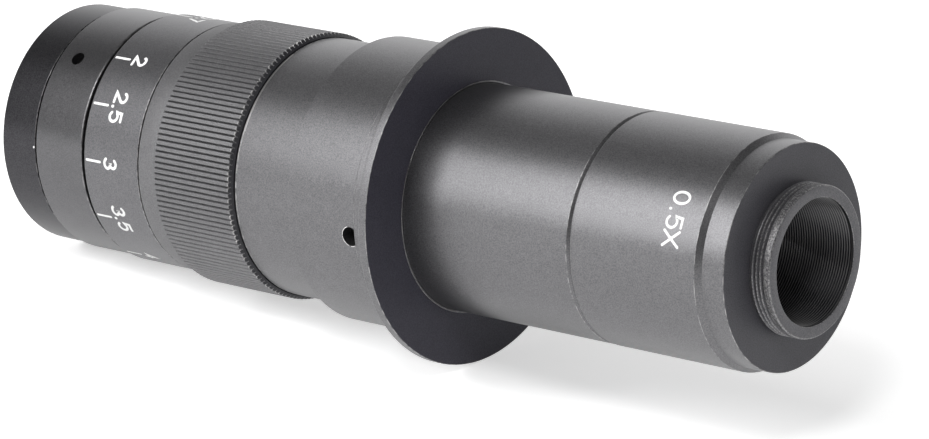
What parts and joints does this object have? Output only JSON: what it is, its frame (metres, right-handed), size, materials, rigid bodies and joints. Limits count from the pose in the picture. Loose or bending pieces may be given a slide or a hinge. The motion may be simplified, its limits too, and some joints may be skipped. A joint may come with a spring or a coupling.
{
  "type": "microscope camera adapter lens",
  "caption": "Zoom lens body for a microscope stand with a mounting collar and flange, a knurled zoom ring, a relay adapter tube and a threaded camera nose.",
  "frame": {"origin": "centre of the objective face, which the part stands on", "axes": "+Z along the optical axis towards the camera, -Y towards the side that carries the readings"},
  "size_m": [0.0584, 0.0584, 0.1648],
  "materials": {
    "black_anodised": "satin black anodised, turned",
    "scale_black": "satin black anodised, white filled numbers",
    "grip_black": "black anodised, straight knurl",
    "inner_black": "matt black anodised",
    "screw_steel": "black oxide",
    "follower_brass": "turned",
    "washer_plastic": "plain",
    "lens_glass": "polished, coated",
    "white_marking": "white paint filled engraving"
  },
  "bodies": {
    "lens_body": {"objective_ring": "black_anodised", "index_ring": "black_anodised", "body_tube": "black_anodised", "flange_ring": "black_anodised", "rear_tube": "black_anodised", "adapter_tube": "black_anodised", "camera_ring": "black_anodised", "guide_tube": "inner_black", "front_cell": "inner_black", "rear_cell": "inner_black", "relay_cell": "inner_black", "field_baffle": "inner_black", "front_retaining_ring": "inner_black", "rear_retaining_ring": "inner_black", "relay_retaining_ring": "inner_black", "index_set_screws": "screw_steel", "collar_set_screws": "screw_steel", "front_thrust_washer": "washer_plastic", "rear_thrust_washer": "washer_plastic", "front_crown_element": "lens_glass", "front_flint_element": "lens_glass", "rear_lens": "lens_glass", "relay_crown_element": "lens_glass", "relay_flint_element": "lens_glass"},
    "zoom_ring": {"grip_ring": "grip_black", "scale_ring": "scale_black", "cam_tube": "inner_black", "drive_screws": "screw_steel"},
    "variator": {"variator_cell": "inner_black", "variator_lens": "lens_glass", "variator_retaining_ring": "inner_black", "variator_followers": "follower_brass"},
    "compensator": {"compensator_cell": "inner_black", "compensator_lens": "lens_glass", "compensator_retaining_ring": "inner_black", "compensator_followers": "follower_brass"}
  },
  "joints": [
    {"name": "zoom_turn", "type": "hinge", "parent": "lens_body", "child": "zoom_ring", "pos_m": [0, 0, 0.04], "axis": [0, 0, 1], "range_deg": [-84.5, 94]},
    {"name": "variator_slide", "type": "slide", "parent": "lens_body", "child": "variator", "axis": [0, 0, 1], "range_m": [-0.00633, 0.00569]},
    {"name": "compensator_slide", "type": "slide", "parent": "lens_body", "child": "compensator", "axis": [0, 0, 1], "range_m": [-0.00356, 0.00396]}
  ],
  "couplings": [
    {"joint": "variator_slide", "follows": "zoom_turn", "m_per_rad": -0.0038518},
    {"joint": "compensator_slide", "follows": "zoom_turn", "m_per_rad": 0.0024074}
  ]
}
